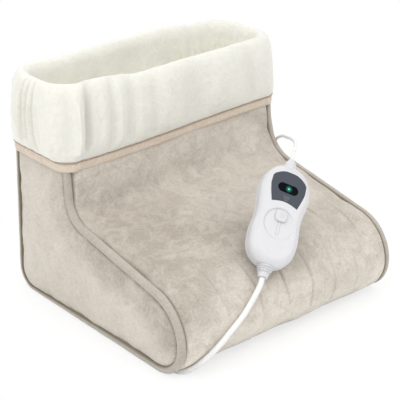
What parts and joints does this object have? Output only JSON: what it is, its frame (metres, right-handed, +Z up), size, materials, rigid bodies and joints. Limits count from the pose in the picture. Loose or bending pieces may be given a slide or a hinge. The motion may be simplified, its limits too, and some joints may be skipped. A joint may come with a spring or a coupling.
{
  "type": "electric foot warmer",
  "caption": "Padded velour foot warmer in the shape of one wide boot, with a turned-down fleece cuff, a heated sole, and a corded slide-switch controller with display and mains cord.",
  "frame": {"origin": "on the floor under the middle of the boot, on the flat underside of the sole", "axes": "+Z up, -Y towards the toe, +X to the wearer's left as seen from the toe's front"},
  "size_m": [0.3679, 0.4174, 0.262],
  "materials": {
    "velour": "short-pile velour with a mottled nap",
    "side_velour": "short-pile velour",
    "binding_tape": "soft padded binding",
    "fleece": "thick soft fleece",
    "trim_tape": "woven tape",
    "sole_cloth": "non-slip sole cloth",
    "heater_felt": "needled felt",
    "wire_sleeve": "silicone sleeve",
    "steel": "zinc-plated",
    "white_plastic": "fine satin",
    "grey_plastic": "satin",
    "window_plastic": "dark gloss",
    "green_light": "glowing lens",
    "board": "solder mask",
    "black_plastic": "satin",
    "white_cord": "smooth sheath",
    "nickel": "nickel-plated brass"
  },
  "bodies": {
    "boot": {"front_panel": "velour", "heel_panel": "velour", "left_side_panel": "side_velour", "right_side_panel": "side_velour", "sole_panel": "sole_cloth", "left_binding": "binding_tape", "right_binding": "binding_tape", "cuff": "fleece", "cuff_trim": "trim_tape", "inner_lining": "fleece", "heating_pad": "heater_felt", "heating_wire": "wire_sleeve", "thermal_fuse": "steel", "lead_gland": "white_plastic", "controller_front_shell": "white_plastic", "controller_back_shell": "white_plastic", "display_fascia": "grey_plastic", "display_window": "window_plastic", "indicator_light": "green_light", "circuit_board": "board", "slide_switch": "black_plastic", "back_screw_1": "steel", "back_screw_2": "steel", "back_screw_3": "steel", "back_screw_4": "steel", "top_relief": "white_plastic", "bottom_relief": "white_plastic", "heating_lead": "white_cord", "mains_cord": "white_cord", "mains_cord_coil": "white_cord", "mains_cord_tail": "white_cord", "plug_relief": "white_cord", "plug_body": "white_cord", "plug_pin_1": "nickel", "plug_pin_2": "nickel"},
    "slide_knob": {"slide_knob": "white_plastic"}
  },
  "joints": [
    {"name": "heat_slide", "type": "slide", "parent": "boot", "child": "slide_knob", "axis": [-0.6698, -0.4119, -0.6178], "range_m": [0, 0.012]}
  ]
}
